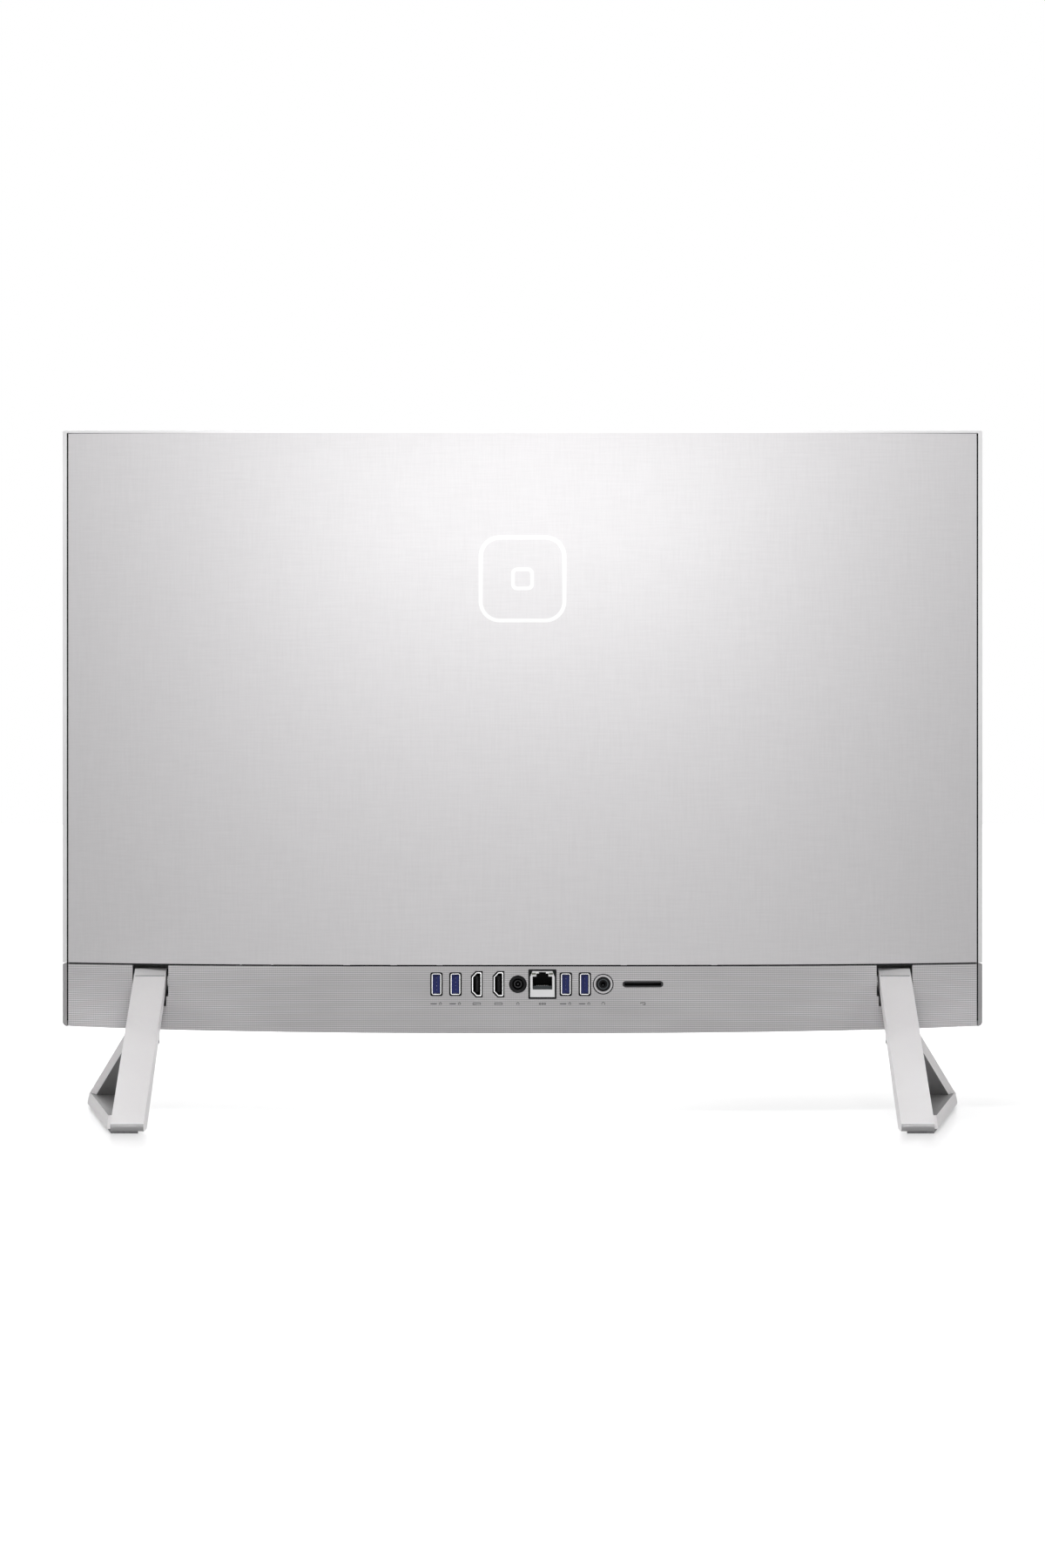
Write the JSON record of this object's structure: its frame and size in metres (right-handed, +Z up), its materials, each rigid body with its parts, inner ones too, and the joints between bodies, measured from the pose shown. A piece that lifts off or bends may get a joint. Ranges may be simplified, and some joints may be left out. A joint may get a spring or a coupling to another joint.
{
  "type": "all-in-one desktop computer",
  "caption": "Slim screen-and-computer in one: bulged white back, silver chin with a row of ports, tilting on two folded triangular legs.",
  "frame": {"origin": "middle of the footprint, on the table top", "axes": "+Z up, +Y towards the back of the computer (the port side), -Y towards the person at the screen, +X to that person's right"},
  "size_m": [0.614, 0.166, 0.457],
  "materials": {
    "shell_white": "pearl white fine woven texture, satin",
    "chin_silver": "silver grey with fine horizontal lines, satin",
    "rim_silver": "satin silver paint",
    "leg_aluminium": "fine bead blasted, clear anodised",
    "foot_rubber": "soft grey rubber",
    "display_black": "dark display, semi gloss",
    "bezel_black": "black bezel",
    "steel_sheet": "zinc plated sheet steel",
    "steel_bar": "turned steel",
    "board_green": "solder mask over fibreglass",
    "chip_black": "moulded epoxy",
    "plastic_black": "moulded plastic",
    "copper": "bare copper",
    "aluminium_fin": "bare aluminium",
    "chrome_shell": "plated connector shell",
    "tongue_blue": "moulded blue plastic",
    "button_grey": "satin key cap"
  },
  "bodies": {
    "stand": {"leg_left": "leg_aluminium", "leg_right": "leg_aluminium", "foot_pad_left": "foot_rubber", "foot_pad_right": "foot_rubber", "cross_tube": "steel_bar", "hinge_washers": "steel_bar"},
    "head": {"middle_frame": "rim_silver", "front_bezel": "bezel_black", "lcd_panel": "display_black", "camera_module": "chip_black", "front_chin": "rim_silver", "back_panel": "shell_white", "chin_cover": "chin_silver", "port_wall": "chin_silver", "chassis_plate": "steel_sheet", "usb_socket_1": "chrome_shell", "usb_socket_2": "chrome_shell", "usb_socket_3": "chrome_shell", "usb_socket_4": "chrome_shell", "usb_tongue_1": "tongue_blue", "usb_tongue_2": "tongue_blue", "usb_tongue_3": "tongue_blue", "usb_tongue_4": "tongue_blue", "hdmi_socket_1": "chrome_shell", "hdmi_socket_2": "chrome_shell", "dc_jack": "plastic_black", "ethernet_socket": "plastic_black", "line_out_jack": "plastic_black", "card_reader": "plastic_black", "system_board": "board_green", "board_standoffs": "steel_bar", "board_screws": "steel_bar", "processor": "chip_black", "memory_module_1": "board_green", "memory_module_2": "board_green", "ssd_module": "board_green", "wireless_card": "board_green", "coin_cell": "steel_bar", "cpu_heatsink": "copper", "heat_pipe": "copper", "heatsink_fins": "aluminium_fin", "fan_housing": "plastic_black", "hard_drive": "aluminium_fin", "drive_caddy": "steel_sheet", "speaker_left": "plastic_black", "speaker_right": "plastic_black", "antennas": "copper", "display_cable": "plastic_black", "hinge_block_left": "steel_bar", "hinge_block_right": "steel_bar", "hinge_screws": "steel_bar", "button_board": "board_green"},
    "fan": {"fan_impeller": "plastic_black"},
    "power_key": {"power_button": "button_grey"},
    "shutter": {"camera_shutter": "plastic_black"}
  },
  "joints": [
    {"name": "screen_tilt", "type": "hinge", "parent": "stand", "child": "head", "pos_m": [0, -0.02, 0.09], "axis": [-1, 0, 0], "range_deg": [-5, 25]},
    {"name": "fan_spin", "type": "hinge", "parent": "head", "child": "fan", "pos_m": [0.13, -0.0086, 0.215], "axis": [0, 1, 0], "continuous": true},
    {"name": "power_press", "type": "slide", "parent": "head", "child": "power_key", "axis": [0, 0, 1], "range_m": [0, 0.0008], "stiffness_N_per_m": 900, "springref_m": -0.0008},
    {"name": "shutter_slide", "type": "slide", "parent": "head", "child": "shutter", "axis": [1, 0, 0], "range_m": [0, 0.0086]}
  ]
}
